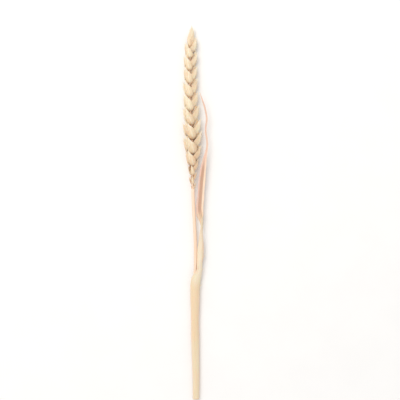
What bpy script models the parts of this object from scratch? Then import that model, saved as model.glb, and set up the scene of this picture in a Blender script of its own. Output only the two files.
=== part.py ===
"""An ear of awnless wheat with its straw and its flag leaf, cut and laid on a flat surface.

Units are metres and +Z is up. The surface is z = 0, the ear points along +Y, and the origin is under
the middle of the whole. The ear is a rachis with spikelets in two ranks, grown as one piece. The straw
is a hollow tube, and the flag leaf is a sheath round the straw that goes on as a dried, twisted blade.
"""

import bmesh
import bpy
import numpy as np
from mathutils import Vector

MM = 0.001
GAP = 0.3  # mm between neighbouring pieces
WELD = 0.01  # mm within which a tube's caps join its wall

# The line that straw and rachis follow from the cut end to the ear's tip, in mm: y, x, z.
CENTRE_LINE = [
    (-111.3, 0.60, 1.60),
    (-76.0, 0.30, 1.90),
    (-46.0, -0.60, 2.45),
    (-32.0, 0.05, 2.75),
    (-20.0, 0.05, 3.00),
    (0.0, -0.90, 3.50),
    (14.0, -1.50, 3.90),
    (28.0, -1.70, 4.25),
    (42.0, -1.75, 4.55),
    (56.0, -2.55, 4.55),
    (70.0, -3.20, 3.75),
    (90.0, -3.15, 3.10),
    (112.8, -2.15, 2.90),
]

# The block under the surface that the ear and the leaf are flattened on, in mm.
SURFACE_BLOCK = (60.0, 260.0, 20.0)

# The straw, in mm. It is thinner inside the sheath.
CUT_END = -111.3
STRAW_RADIUS = 0.95
SHEATHED_RADIUS = 0.82
BARE_FROM = -46.0
BARE_OVER = 8.0
STRAW_SIDES_LEVEL = 3
STRAW_RINGS = 34
BORE_RADIUS = 0.48
BORE_TO = 4.0
BORE_SIDES_LEVEL = 2
BORE_PAST_END = 2.0

# The ear, in mm and degrees. The roll is how far it is turned about its own line.
EAR_FOOT = 13.6
FOOT_LENGTH = 0.9
SPIKELETS = 23
INTERNODE = 4.10
FIRST_INTERNODE = 2.82
TOP_INTERNODE = 3.85
END_INTERNODE = 2.55
SHIFT = {-1: -1.4, 0: 0.0, 1: 0.6}  # each rank's shift along the ear, midway up
SHIFTED_FROM = 38.0
SHIFTED_TO = 96.0
SHIFTED_OVER = 11.0
ROLL_AT_FOOT = 42.0
ROLL_AT_TIP = 14.0
RACHIS_SWAY = 0.40
RACHIS_RADIUS = 0.62
CORE_RADIUS = 1.45
RACHIS_SIDES_LEVEL = 1

# A spikelet's size over a full one's: at the foot, at the top and for the one at the very end.
STERILE_SIZE = 0.55
TOP_SIZE = 0.84
END_SIZE = 1.20
FLORETS_ABOVE = 0.74
UPPER_FLORET_ABOVE = 0.85
STERILE_SPREAD = 0.64  # the least ones open only so far, and are slimmer
STERILE_GIRTH = 0.62
TOP_SPREAD = 0.70  # the topmost ones open only so far
TOP_SPREAD_FROM = 19
# How far open a spikelet at a given y stands, over the usual, in the right rank and in the left, and
# how far its girth follows.
OPENNESS = [
    (14.0, 1.00, 1.00),
    (20.0, 1.00, 0.95),
    (25.0, 0.86, 0.74),
    (30.0, 0.95, 0.90),
    (36.0, 1.02, 1.08),
    (46.0, 1.02, 0.95),
    (54.0, 0.96, 0.82),
    (60.0, 0.88, 0.74),
    (82.0, 0.88, 0.74),
    (90.0, 0.92, 0.84),
    (97.0, 1.00, 1.00),
]
GIRTH_FOLLOWS = 0.4

END_LEAN = 0.11  # the end spikelet stands straight up, with its husks narrower and closer together
END_FAN = 0.22
END_GIRTH = 0.49

# One spikelet at full size, in mm: each husk as its root, its tip, the way its back faces, half its
# width, and the depth of its back and of its front. Axes: out from the rachis, across, up the ear.
GLUME = ((0.15, 1.30, -0.45), (4.20, 3.00, 7.60), (0.50, 0.86, 0.0), 2.65, 1.50, 0.90)
LOWER_FLORET = ((1.00, 0.60, 0.60), (4.95, 2.60, 9.20), (0.86, 0.50, 0.0), 2.00, 1.40, 1.30)
MIDDLE_FLORET = ((1.40, 0.30, 2.20), (5.10, 0.60, 10.2), (1.0, 0.10, 0.0), 1.80, 1.25, 1.55)
UPPER_FLORET = ((1.40, -0.30, 3.60), (3.75, -0.85, 10.8), (0.9, -0.30, 0.0), 1.30, 0.95, 1.20)
HUSK_SIDES = 6
HUSK_RINGS = 5
WIDEST = 0.35  # how far up a husk it is widest
POINTEDNESS = 1.65
TIP_SCATTER = 0.20
SEED = 11

# The flag leaf, in mm and degrees: y, the middle of its curl x and z, half its width and height,
# the way its midrib faces from there (0 is +X, 90 is up) and how far it reaches round each side.
LEAF_STATIONS = [
    (-111.3, 0.32, 1.60, 1.57, 1.42, -10, 168),
    (-100.0, 0.38, 1.65, 1.70, 1.45, -10, 168),
    (-88.0, 0.14, 1.75, 1.88, 1.50, -10, 168),
    (-76.0, -0.10, 1.92, 2.05, 1.53, -10, 168),
    (-64.0, -0.24, 2.12, 2.02, 1.58, -10, 168),
    (-52.0, -0.25, 2.35, 2.36, 1.62, -8, 168),
    (-46.0, -0.22, 2.44, 2.42, 1.68, -5, 167),
    (-41.4, 0.05, 2.52, 2.55, 1.74, 0, 163),
    (-38.0, 0.55, 2.62, 2.52, 1.78, 8, 148),
    (-35.8, 1.10, 2.72, 2.40, 1.74, 16, 108),
    (-33.8, 1.50, 2.82, 2.25, 1.62, 24, 84),
    (-30.6, 1.90, 2.95, 1.95, 1.35, 42, 78),
    (-27.0, 2.55, 3.08, 1.90, 1.10, 62, 82),
    (-23.4, 2.85, 3.22, 1.88, 0.98, 74, 82),
    (-19.8, 3.12, 3.35, 1.70, 0.95, 72, 78),
    (-16.2, 3.15, 3.48, 1.32, 1.05, 62, 78),
    (-12.0, 3.13, 3.60, 1.02, 1.22, 40, 80),
    (-8.5, 3.12, 3.72, 1.00, 1.30, 8, 86),
    (-4.8, 2.90, 3.90, 1.25, 1.32, -22, 90),
    (-1.8, 2.52, 4.20, 1.85, 1.27, -58, 85),
    (1.8, 2.52, 4.50, 1.98, 1.15, -84, 79),
    (6.0, 2.84, 4.70, 1.92, 1.08, -90, 78),
    (10.8, 3.26, 4.80, 1.87, 1.02, -92, 78),
    (15.0, 3.58, 4.88, 1.82, 1.00, -92, 78),
    (19.8, 3.95, 5.00, 1.86, 0.95, -92, 78),
    (25.0, 4.44, 5.10, 1.64, 0.85, -88, 76),
    (31.8, 5.35, 5.20, 1.20, 0.62, -84, 72),
    (37.2, 6.55, 5.20, 0.62, 0.30, -80, 60),
    (41.0, 6.95, 5.15, 0.50, 0.20, -80, 60),
    (49.8, 6.05, 5.10, 0.48, 0.20, -80, 60),
    (56.4, 6.70, 5.25, 0.45, 0.20, -80, 60),
    (62.0, 5.80, 5.60, 0.40, 0.16, -80, 60),
    (68.2, 3.85, 6.20, 0.34, 0.12, -80, 60),
    (72.0, 2.50, 6.70, 0.18, 0.06, -80, 60),
]
LEAF_THICKNESS = 0.6
LEAF_COLUMNS = 10
LEAF_ROWS = 62

CHAFF = ((0.90, 0.74, 0.51), 0.70)
STRAW = ((0.92, 0.76, 0.56), 0.50)
DRY_LEAF = ((0.85, 0.73, 0.48), 0.60)


def smooth(at, table, column):
    """A smooth curve through a table's values: cubic pieces whose slopes are the neighbours' slopes."""
    rows = np.array(table, float)
    x, y = rows[:, 0], rows[:, column]
    slope = np.gradient(y, x)
    at = np.clip(np.asarray(at, float), x[0], x[-1])
    i = np.clip(np.searchsorted(x, at, side="right") - 1, 0, len(x) - 2)
    step = x[i + 1] - x[i]
    t = (at - x[i]) / step
    return (
        y[i] * (1 + 2 * t) * (1 - t) ** 2
        + y[i + 1] * t**2 * (3 - 2 * t)
        + step * (slope[i] * t * (1 - t) ** 2 - slope[i + 1] * t**2 * (1 - t))
    )


def eased(value):
    """0 below 0, 1 above 1 and an even S between."""
    value = min(max(value, 0.0), 1.0)
    return value * value * (3 - 2 * value)


def centre(y):
    """The point of the centre line at a given y, in mm."""
    return Vector((float(smooth(y, CENTRE_LINE, 1)), y, float(smooth(y, CENTRE_LINE, 2))))


def ear_axes(y):
    """The ear's own axes at a given y: out towards the left rank, across, and along the ear."""
    along = (centre(y + 1.0) - centre(y - 1.0)).normalized()
    share = min(max((y - EAR_FOOT) / (CENTRE_LINE[-1][0] - EAR_FOOT), 0.0), 1.0)
    roll = np.radians(ROLL_AT_FOOT + (ROLL_AT_TIP - ROLL_AT_FOOT) * share)
    out = Vector((-np.cos(roll), 0.0, np.sin(roll)))
    out = (out - along * out.dot(along)).normalized()
    return out, along.cross(out), along


def internode(index):
    """The length of rachis above a spikelet: short at the foot, full from the seventh, less at the top."""
    if index == SPIKELETS - 1:
        return END_INTERNODE
    shorter_at_foot = (INTERNODE - FIRST_INTERNODE) * (1 - eased((index - 3) / 4))
    shorter_at_top = (INTERNODE - TOP_INTERNODE) * eased((index - 14) / 8)
    return INTERNODE - shorter_at_foot - shorter_at_top


def shift(rank, y):
    """How far a rank's spikelets stand from their even places, where they come closer to pairs."""
    begun = eased((y - SHIFTED_FROM) / SHIFTED_OVER)
    return SHIFT[rank] * begun * eased((SHIFTED_TO - y) / SHIFTED_OVER)


def spikelet_size(index):
    """A spikelet's size: tiny and sterile at the foot, full from the eighth, less at the top."""
    grown = STERILE_SIZE + (1 - STERILE_SIZE) * eased((index - 0.2) / 7.4)
    return grown - (1 - TOP_SIZE) * eased((index - 13) / 9)


def finish(name, look):
    """A material from a colour and a roughness."""
    colour, roughness = look
    made = bpy.data.materials.new(name)
    made.use_nodes = True
    shader = made.node_tree.nodes["Principled BSDF"]
    shader.inputs["Base Color"].default_value = (*colour, 1.0)
    shader.inputs["Roughness"].default_value = roughness
    shader.inputs["Metallic"].default_value = 0.0
    return made


def add_object(name, mesh, collection):
    made = bpy.data.objects.new(name, mesh)
    collection.objects.link(made)
    return made


def object_from(body, name, collection):
    """A new object from a bmesh, which is freed."""
    mesh = bpy.data.meshes.new(name)
    body.to_mesh(mesh)
    body.free()
    return add_object(name, mesh, collection)


def finished_mesh(obj):
    """The object's mesh with its modifiers applied, as a new mesh."""
    graph = bpy.context.evaluated_depsgraph_get()
    return bpy.data.meshes.new_from_object(obj.evaluated_get(graph), depsgraph=graph)


def make_cutter(obj):
    obj.hide_render = True
    obj.display_type = "WIRE"
    return obj


def cut_with(obj, cutter, name):
    """Takes the cutter's shape out of the object."""
    cut = obj.modifiers.new(name, "BOOLEAN")
    cut.operation = "DIFFERENCE"
    cut.object = cutter
    cut.solver = "EXACT"


def tube(name, points, radii, sides_level, collection):
    """A tube through the points, in mm, made a mesh with its caps welded on."""
    curve = bpy.data.curves.new(name, "CURVE")
    curve.dimensions = "3D"
    curve.bevel_depth = 1.0
    curve.bevel_resolution = sides_level
    curve.use_fill_caps = True
    spline = curve.splines.new("POLY")
    spline.points.add(len(points) - 1)
    for place, point, radius in zip(spline.points, points, radii):
        place.co = (*(point * MM), 1.0)
        place.radius = radius * MM
    holder = add_object(name, curve, collection)
    bpy.context.view_layer.update()
    mesh = finished_mesh(holder)
    bpy.data.objects.remove(holder)
    bpy.data.curves.remove(curve)
    body = bmesh.new()
    body.from_mesh(mesh)
    bpy.data.meshes.remove(mesh)
    bmesh.ops.remove_doubles(body, verts=body.verts[:], dist=WELD * MM)
    bmesh.ops.recalc_face_normals(body, faces=body.faces[:])
    return object_from(body, name, collection)


def add_husk(name, husk, flip, size, foot, axes, lean, fan, girth, scatter, collection):
    """One husk of a spikelet: a ball drawn out to a point along its own line, keeled on its back.

    Along the line, its half width follows a quarter of an ellipse up to the widest place and then
    falls off as a power of the rest.
    """
    root, tip, back_way, half_width, back, front = husk

    def world(vector):
        return axes[0] * vector[0] * lean + axes[1] * vector[1] * flip * fan + axes[2] * vector[2]

    start = foot + world(root) * size
    line = (world(tip) - world(root) + scatter) * size
    along = line.normalized()
    facing = axes[0] * back_way[0] + axes[1] * back_way[1] * flip
    facing = (facing - along * facing.dot(along)).normalized()
    side = along.cross(facing)
    body = bmesh.new()
    bmesh.ops.create_uvsphere(body, u_segments=HUSK_SIDES, v_segments=HUSK_RINGS, radius=1.0)
    for vertex in body.verts:
        depth, across, height = vertex.co
        share = (height + 1) / 2
        ring = max(1 - height * height, 1e-12) ** 0.5
        if share < WIDEST:
            fullness = (1 - ((share - WIDEST) / WIDEST) ** 2) ** 0.5
        else:
            fullness = 1 - ((share - WIDEST) / (1 - WIDEST)) ** POINTEDNESS
        outward = depth / ring * fullness * (back if depth > 0 else front) * girth
        sideways = across / ring * fullness * half_width * girth
        vertex.co = (start + line * share + (facing * outward + side * sideways) * size) * MM
    return object_from(body, name, collection)


def add_spikelet(index, y, rank, size, chance, collection):
    """A spikelet's glumes and florets. Rank is 1 for the left, -1 for the right, 0 for the end one."""
    out, across, along = ear_axes(y)
    if rank:
        axes = (out * rank, across * rank, along)
        opened = min((size - STERILE_SIZE) / (TOP_SIZE - STERILE_SIZE), 1.0)
        upright = (1 - TOP_SPREAD) * eased((index - TOP_SPREAD_FROM) / (SPIKELETS - TOP_SPREAD_FROM))
        openness = float(smooth(y, OPENNESS, 1 if rank < 0 else 2))
        lean = fan = (STERILE_SPREAD + (1 - STERILE_SPREAD) * opened - upright) * openness
        girth = STERILE_GIRTH + (1 - STERILE_GIRTH) * opened
        girth *= 1 - GIRTH_FOLLOWS * (1 - openness)
    else:
        axes = (across, -out, along)
        lean, fan, girth = END_LEAN, END_FAN, END_GIRTH
    husks = [(GLUME, 1), (GLUME, -1)]
    if size > FLORETS_ABOVE:
        husks += [(LOWER_FLORET, 1), (LOWER_FLORET, -1), (MIDDLE_FLORET, 1)]
    if size > UPPER_FLORET_ABOVE:
        husks += [(UPPER_FLORET, 1)]
    for number, (husk, flip) in enumerate(husks):
        scatter = Vector(chance.normal(0.0, TIP_SCATTER, 3))
        name = f"husk_{index}_{number}"
        add_husk(name, husk, flip, size, centre(y), axes, lean, fan, girth, scatter, collection)


def keep_outer_skin(obj):
    """Keeps the largest connected skin: loose scraps go, and hollows that fusing sealed are filled."""
    body = bmesh.new()
    body.from_mesh(obj.data)
    unseen = set(body.verts)
    skins = []
    while unseen:
        reached = [unseen.pop()]
        skin = set(reached)
        while reached:
            vertex = reached.pop()
            for link in vertex.link_edges:
                other = link.other_vert(vertex)
                if other in unseen:
                    unseen.discard(other)
                    skin.add(other)
                    reached.append(other)
        skins.append(skin)
    largest = max(skins, key=len)
    bmesh.ops.delete(body, geom=[v for v in body.verts if v not in largest], context="VERTS")
    bmesh.ops.triangulate(body, faces=body.faces[:])
    body.to_mesh(obj.data)
    body.free()


def fuse(core, repeats):
    """One union of the core with every repeat, applied, and the repeats then removed."""
    union = core.modifiers.new("Fuse husks", "BOOLEAN")
    union.operation = "UNION"
    union.operand_type = "COLLECTION"
    union.collection = repeats
    union.solver = "EXACT"
    spent = core.data
    core.data = finished_mesh(core)
    core.modifiers.clear()
    bpy.data.meshes.remove(spent)
    for husk in list(repeats.objects):
        spent = husk.data
        bpy.data.objects.remove(husk)
        bpy.data.meshes.remove(spent)
    bpy.data.collections.remove(repeats)
    keep_outer_skin(core)


def make_surface(cutters):
    """A block whose top is the surface that everything lies on."""
    wide, long, deep = SURFACE_BLOCK
    body = bmesh.new()
    bmesh.ops.create_cube(body, size=1.0)
    bmesh.ops.translate(body, verts=body.verts[:], vec=(0.0, 0.0, -0.5))
    bmesh.ops.scale(body, verts=body.verts[:], vec=(wide * MM, long * MM, deep * MM))
    return make_cutter(object_from(body, "surface", cutters))


def make_ear(collection, surface):
    """The rachis with its spikelets in two ranks, fused, with its underside flat where it lies."""
    chance = np.random.default_rng(SEED)
    repeats = bpy.data.collections.new("husks")
    bpy.context.scene.collection.children.link(repeats)
    points = [centre(EAR_FOOT)]
    radii = [STRAW_RADIUS]
    y = EAR_FOOT + FOOT_LENGTH
    for index in range(SPIKELETS):
        rank = -1 if index % 2 == 0 else 1
        size = spikelet_size(index)
        place = y + shift(rank, y)
        out, _, _ = ear_axes(place)
        covered = eased((size - FLORETS_ABOVE) / (1 - FLORETS_ABOVE))
        points.append(centre(place) + out * rank * RACHIS_SWAY)
        radii.append(RACHIS_RADIUS + (CORE_RADIUS - RACHIS_RADIUS) * covered)
        add_spikelet(index, place, rank, size, chance, repeats)
        y += internode(index)
    add_spikelet(SPIKELETS, y, 0, END_SIZE, chance, repeats)
    points += [centre(y), centre(y + INTERNODE)]
    radii += [RACHIS_RADIUS, RACHIS_RADIUS / 2]
    ear = tube("ear", points, radii, RACHIS_SIDES_LEVEL, collection)
    fuse(ear, repeats)
    cut_with(ear, surface, "Flat where it lies")
    ear.data.materials.append(finish("chaff", CHAFF))
    return ear


def make_stem(collection, cutters):
    """The straw, a tube on the centre line, with its bore open at the cut end."""
    rows = np.linspace(CUT_END, EAR_FOOT - GAP, STRAW_RINGS)
    bare = [eased((y - BARE_FROM) / BARE_OVER) for y in rows]
    radii = [SHEATHED_RADIUS + (STRAW_RADIUS - SHEATHED_RADIUS) * share for share in bare]
    stem = tube("stem", [centre(y) for y in rows], radii, STRAW_SIDES_LEVEL, collection)
    points = [centre(y) for y in np.linspace(CUT_END, BORE_TO, STRAW_RINGS)]
    points.insert(0, points[0] - Vector((0.0, BORE_PAST_END, 0.0)))
    bore = tube("bore", points, [BORE_RADIUS] * len(points), BORE_SIDES_LEVEL, cutters)
    cut_with(stem, make_cutter(bore), "Hollow straw")
    stem.data.materials.append(finish("straw", STRAW))
    return stem


def make_flag_leaf(collection, surface):
    """The sheath and the blade as one sheet: each cross-section is an arc of an ellipse."""
    body = bmesh.new()
    bmesh.ops.create_grid(body, x_segments=LEAF_COLUMNS, y_segments=LEAF_ROWS, size=1.0)
    bmesh.ops.triangulate(body, faces=body.faces[:], quad_method="FIXED")
    across, lengthwise = np.array([vertex.co for vertex in body.verts])[:, :2].T
    station = np.interp(
        lengthwise, np.linspace(-1, 1, len(LEAF_STATIONS)), [row[0] for row in LEAF_STATIONS]
    )
    middle_x, middle_z, half_width, half_height, facing, reach = (
        smooth(station, LEAF_STATIONS, column) for column in range(1, 7)
    )
    turn = np.radians(facing + reach * across)
    x = middle_x + half_width * np.cos(turn)
    z = middle_z + half_height * np.sin(turn)
    for vertex, place in zip(body.verts, np.stack((x, station, z), axis=1)):
        vertex.co = Vector(place) * MM
    leaf = object_from(body, "flag_leaf", collection)
    wall = leaf.modifiers.new("Thickness", "SOLIDIFY")
    wall.thickness = LEAF_THICKNESS * MM
    wall.offset = 0.0
    wall.use_even_offset = True
    cut_with(leaf, surface, "Flat where it lies")
    leaf.data.materials.append(finish("dry leaf", DRY_LEAF))
    return leaf


def main():
    for obj in list(bpy.data.objects):
        bpy.data.objects.remove(obj)
    parts = bpy.data.collections.new("wheat ear")
    cutters = bpy.data.collections.new("cutters")
    bpy.context.scene.collection.children.link(parts)
    bpy.context.scene.collection.children.link(cutters)
    surface = make_surface(cutters)
    make_ear(parts, surface)
    make_stem(parts, cutters)
    make_flag_leaf(parts, surface)


main()
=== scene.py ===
"""A dried ear of awnless wheat with its straw and its flag leaf, lying on a pale floor.

Sizes are in millimetres in the formulas and in metres in the meshes. +Z is up and the ear points along
+Y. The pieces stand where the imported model's nodes ear, stem and flag_leaf are, on the same layout.
"""

import bpy
import numpy as np
from bpy.props import FloatProperty, FloatVectorProperty, IntProperty, PointerProperty
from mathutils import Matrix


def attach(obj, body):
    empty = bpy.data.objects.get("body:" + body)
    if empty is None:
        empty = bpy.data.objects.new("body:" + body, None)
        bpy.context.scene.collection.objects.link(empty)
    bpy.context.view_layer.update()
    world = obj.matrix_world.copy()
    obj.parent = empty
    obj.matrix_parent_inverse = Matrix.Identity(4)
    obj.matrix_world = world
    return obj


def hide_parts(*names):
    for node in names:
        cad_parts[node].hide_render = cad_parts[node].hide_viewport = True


bl_info = {
    "name": "Wheat ear",
    "version": (1, 0, 0),
    "blender": (4, 5, 0),
    "location": "3D View > Sidebar > Wheat ear",
    "description": "Builds a dried wheat ear with its straw and flag leaf",
    "category": "Add Mesh",
}

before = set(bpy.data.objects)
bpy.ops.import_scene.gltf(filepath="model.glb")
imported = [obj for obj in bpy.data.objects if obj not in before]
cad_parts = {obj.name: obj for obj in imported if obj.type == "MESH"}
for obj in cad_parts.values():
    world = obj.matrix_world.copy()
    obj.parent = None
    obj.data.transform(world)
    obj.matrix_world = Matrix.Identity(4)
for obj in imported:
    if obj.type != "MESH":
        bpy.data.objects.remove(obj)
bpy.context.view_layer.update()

BODY = "root"
MM = 0.001
SHARP_ANGLE = 50

# The picture's width and the point in its middle, and half the floor's width, in m.
FRAME_WIDTH = 0.24
FRAME_MIDDLE = (0.00275, 0.0078)
FLOOR_HALF = 1.6
GRAIN_SHADE = 0.985  # the floor's grain, over the floor's colour
SENSOR_WIDTH = 36.0  # mm

# The soft light, in m, and the light all round.
KEY_PLACE = (-0.32, 0.46, 0.90)
KEY_WIDTH = 0.7
KEY_COLOUR = (1.0, 0.975, 0.94)
SKY_COLOUR = (1.0, 0.985, 0.97, 1.0)

# The line that straw and rachis follow from the cut end to the ear's tip, in mm: y, x, z.
CENTRE_LINE = np.array([
    (-111.3, 0.60, 1.60),
    (-76.0, 0.30, 1.90),
    (-46.0, -0.60, 2.45),
    (-32.0, 0.05, 2.75),
    (-20.0, 0.05, 3.00),
    (0.0, -0.90, 3.50),
    (14.0, -1.50, 3.90),
    (28.0, -1.70, 4.25),
    (42.0, -1.75, 4.55),
    (56.0, -2.55, 4.55),
    (70.0, -3.20, 3.75),
    (90.0, -3.15, 3.10),
    (112.8, -2.15, 2.90),
])

# The straw, in mm. It is bare from a y and over a length.
CUT_END = -111.3
STRAW_RADIUS = 0.95
SHEATHED_RADIUS = 1.05
BARE_BEGINS = (-46.0, 8.0)
BORE_RADIUS = 0.62
BORE_TO = 4.0
STRAW_GRID = (420, 80)
STRAW_RIBS = 26
RIB_HEIGHT = 0.018

# The collar under the ear: how far below the ear's foot, its length and its share of the radius.
COLLAR_BELOW = 1.1
COLLAR_LENGTH = 0.55
COLLAR_SHARE = 0.10

# The ear, in mm and degrees. The roll is how far it is turned about its own line.
EAR_FOOT = 13.6
FOOT_LENGTH = 0.9
SPIKELETS = 23
INTERNODE = 4.10
FIRST_INTERNODE = 2.82
TOP_INTERNODE = 3.85
END_INTERNODE = 2.55
RIGHT_SHIFT = -1.4
LEFT_SHIFT = 0.6
SHIFTED_FROM = 38.0
SHIFTED_TO = 96.0
SHIFTED_OVER = 11.0
ROLL_AT_FOOT = 42.0
ROLL_AT_TIP = 14.0

# From one spikelet on and over so many: the internodes lengthen and shorten, the spikelets grow and shrink.
LENGTHENS = (3, 4)
SHORTENS = (14, 8)
GROWS = (0.2, 7.4)
SHRINKS = (13, 9)

# The rachis, in mm: half its width and depth under a sterile spikelet and how much more under a full
# one, and the share of them that it has just above a spikelet.
RACHIS_SWAY = 0.40
RACHIS_GRID = (380, 28)
RACHIS_WIDTH = (0.78, 0.55)
RACHIS_DEPTH = (0.50, 0.35)
NECK_SHARE = 0.65
FOOT_BLENDS_OVER = 2.0
TOP_THINS = (-0.5, 1.5)  # from the last spikelet's foot, and over a length
TOP_THINNED = 0.85
HAIRS_EACH = 26
HAIR_RING = ((0.03, 0.0, 0.0), (-0.015, 0.0, 0.026), (-0.015, 0.0, -0.026))
HAIR_U = 0.25
HAIR_V = (0.3, 0.3, 0.3, 0.9)
HAIR_FEET = (-1.0, 0.1)
HAIR_SCATTER = 0.15

# A spikelet's size over a full one's: at the foot, at the top and for the one at the very end, and above
# what size it has florets and an upper one. Sterile ones open less, and so do the top ones.
STERILE_SIZE = 0.55
TOP_SIZE = 0.84
END_SIZE = 1.20
FLORETS_ABOVE = 0.74
UPPER_FLORET_ABOVE = 0.85
STERILE_SPREAD = 0.64
STERILE_GIRTH = 0.62
TOP_SPREAD = 0.70
TOP_SPREAD_FROM = 19
# How far open a spikelet at a given y stands, over the usual, in the right rank and in the left, and
# how far its girth follows.
OPENNESS = np.array([
    (14.0, 1.00, 1.00),
    (20.0, 1.00, 0.95),
    (25.0, 0.86, 0.74),
    (30.0, 0.95, 0.90),
    (36.0, 1.02, 1.08),
    (46.0, 1.02, 0.95),
    (54.0, 0.96, 0.82),
    (60.0, 0.88, 0.74),
    (82.0, 0.88, 0.74),
    (90.0, 0.92, 0.84),
    (97.0, 1.00, 1.00),
])
GIRTH_FOLLOWS = 0.4

# How the spikelet at the very end leans, fans out and fills out.
END_LEAN = 0.11
END_FAN = 0.22
END_GIRTH = 0.49

# One spikelet at full size, in mm: each husk as its root, its tip, the way its back faces, half its
# width, and the depth of its back and of its front. Axes: out from the rachis, across, up the ear.
GLUME = ((0.15, 1.30, -0.45), (4.20, 3.00, 7.60), (0.50, 0.86, 0.0), 2.65, 1.50, 0.90)
LOWER_FLORET = ((1.00, 0.60, 0.60), (4.95, 2.60, 9.20), (0.86, 0.50, 0.0), 2.00, 1.40, 1.30)
MIDDLE_FLORET = ((1.40, 0.30, 2.20), (5.10, 0.60, 10.2), (1.0, 0.10, 0.0), 1.80, 1.25, 1.55)
UPPER_FLORET = ((1.40, -0.30, 3.60), (3.75, -0.85, 10.8), (0.9, -0.30, 0.0), 1.30, 0.95, 1.20)

# A husk, in shares of its length and of its girth: its widest place, its point's power, its beak, and
# where the keel comes in, the point narrows, the edges close and the beak ends, and how much they narrow.
WIDEST = 0.35
POINTEDNESS = 1.65
BEAK_GIRTH = 0.05
KEEL_RISES = (0.0, 0.3)
POINT_NARROWS = (0.55, 0.45)
EDGES_CLOSE = (0.88, 0.12)
BEAK_ENDS = (1.0, 0.12)
POINT_NARROWED = 0.22
BEAK_NARROWED = (0.35, 0.75)
BEAK_LENGTHS = (0.25, 1.0)
SHOULDER_TURN = 0.6  # radians
TIP_SCATTER = 0.20  # mm
HUSK_BEND = 0.10  # mm
SEED = 11
LOOKS_SEED = 23

# Each kind of husk in the picture: points along and across it, how many degrees it reaches round each
# side, and the thickness of its margin and its middle in mm. Then its form: its keel over a glume's, its
# fuller shoulder, how far it bows out in mm, how full its foot is and how far its beak runs on.
GLUME_LOOK = ((34, 25), 104.0, (0.09, 0.30), (1.0, 0.55, 0.20, 0.45, 0.08))
LEMMA_LOOK = ((32, 23), 122.0, (0.08, 0.26), (0.45, 0.15, 0.20, 0.40, 0.08))
PALEA_LOOK = ((18, 11), 70.0, (0.08, 0.12), (0.0, 0.0, -0.05, 0.35, 0.0))
KEEL_ANGLE = 0.17  # radians

# Powers that crowd a husk's points at its tip and its keel, and thin its wall at its margins and its tip.
TIP_CROWDING = 1.2
KEEL_CROWDING = 1.15
WALL_POWERS = (1.5, 4)
TIP_WALL_LOST = 0.75

# The lower husks are warmer: below a y in full, then less over a length, in mm, and how much.
WARM_ENDS = (16.0, 42.0)
FOOT_WARMTH = 0.7

# The flag leaf, in mm and degrees: y, the middle of its curl x and z, half its width and height,
# the way its midrib faces from there (0 is +X, 90 is up) and how far it reaches round each side.
LEAF_STATIONS = np.array([
    (-111.3, 0.32, 1.60, 1.57, 1.42, -10, 168),
    (-100.0, 0.38, 1.65, 1.70, 1.45, -10, 168),
    (-88.0, 0.14, 1.75, 1.88, 1.50, -10, 168),
    (-76.0, -0.10, 1.92, 2.05, 1.53, -10, 168),
    (-64.0, -0.24, 2.12, 2.02, 1.58, -10, 168),
    (-52.0, -0.25, 2.35, 2.36, 1.62, -8, 168),
    (-46.0, -0.22, 2.44, 2.42, 1.68, -5, 167),
    (-41.4, 0.05, 2.52, 2.55, 1.74, 0, 163),
    (-38.0, 0.55, 2.62, 2.52, 1.78, 8, 148),
    (-35.8, 1.10, 2.72, 2.40, 1.74, 16, 108),
    (-33.8, 1.50, 2.82, 2.25, 1.62, 24, 84),
    (-30.6, 1.90, 2.95, 1.95, 1.35, 42, 78),
    (-27.0, 2.55, 3.08, 1.90, 1.10, 62, 82),
    (-23.4, 2.85, 3.22, 1.88, 0.98, 74, 82),
    (-19.8, 3.12, 3.35, 1.70, 0.95, 72, 78),
    (-16.2, 3.15, 3.48, 1.32, 1.05, 62, 78),
    (-12.0, 3.13, 3.60, 1.02, 1.22, 40, 80),
    (-8.5, 3.12, 3.72, 1.00, 1.30, 8, 86),
    (-4.8, 2.90, 3.90, 1.25, 1.32, -22, 90),
    (-1.8, 2.52, 4.20, 1.85, 1.27, -58, 85),
    (1.8, 2.52, 4.50, 1.98, 1.15, -84, 79),
    (6.0, 2.84, 4.70, 1.92, 1.08, -90, 78),
    (10.8, 3.26, 4.80, 1.87, 1.02, -92, 78),
    (15.0, 3.58, 4.88, 1.82, 1.00, -92, 78),
    (19.8, 3.95, 5.00, 1.86, 0.95, -92, 78),
    (25.0, 4.44, 5.10, 1.64, 0.85, -88, 76),
    (31.8, 5.35, 5.20, 1.20, 0.62, -84, 72),
    (37.2, 6.55, 5.20, 0.62, 0.30, -80, 60),
    (41.0, 6.95, 5.15, 0.50, 0.20, -80, 60),
    (49.8, 6.05, 5.10, 0.48, 0.20, -80, 60),
    (56.4, 6.70, 5.25, 0.45, 0.20, -80, 60),
    (62.0, 5.80, 5.60, 0.40, 0.16, -80, 60),
    (68.2, 3.85, 6.20, 0.34, 0.12, -80, 60),
    (72.0, 2.50, 6.70, 0.18, 0.06, -80, 60),
])

# Where the blade leaves the sheath, how far the sheath's margins pass each other and how far apart
# they lie, in mm and degrees.
BLADE_FROM = -38.0
SHEATH_OVERLAP = 22.0
SHEATH_SPIRAL = 0.17

# The leaf's sheet, in mm.
LEAF_GRID = (560, 57)
LEAF_HALF_WALL = 0.12
MIDRIB = (0.10, 0.05)  # height, and width as a share of half the leaf's
VEIN_HEIGHT = 0.016
VEINS = 13
VEIN_SWAY = (1.6, 7)
MARGIN_WALL = 0.35  # over the middle's
END_THINS_OVER = 7.0
END_THINNED = 0.85

# Where the sheath closes, in degrees of reach, and where the blade's margins wave. A wave has its power
# of the way across, its height in mm, and its radians for each mm along and for half the width.
SHEATH_CLOSES = (150.0, 18.0)
WAVES_BEGIN = (BLADE_FROM, 6.0)
WAVES_END = (34.0, 6.0)
WAVES = ((2, 0.07, 0.62, 2.4), (4, 0.03, 1.7, -1.5))

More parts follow.
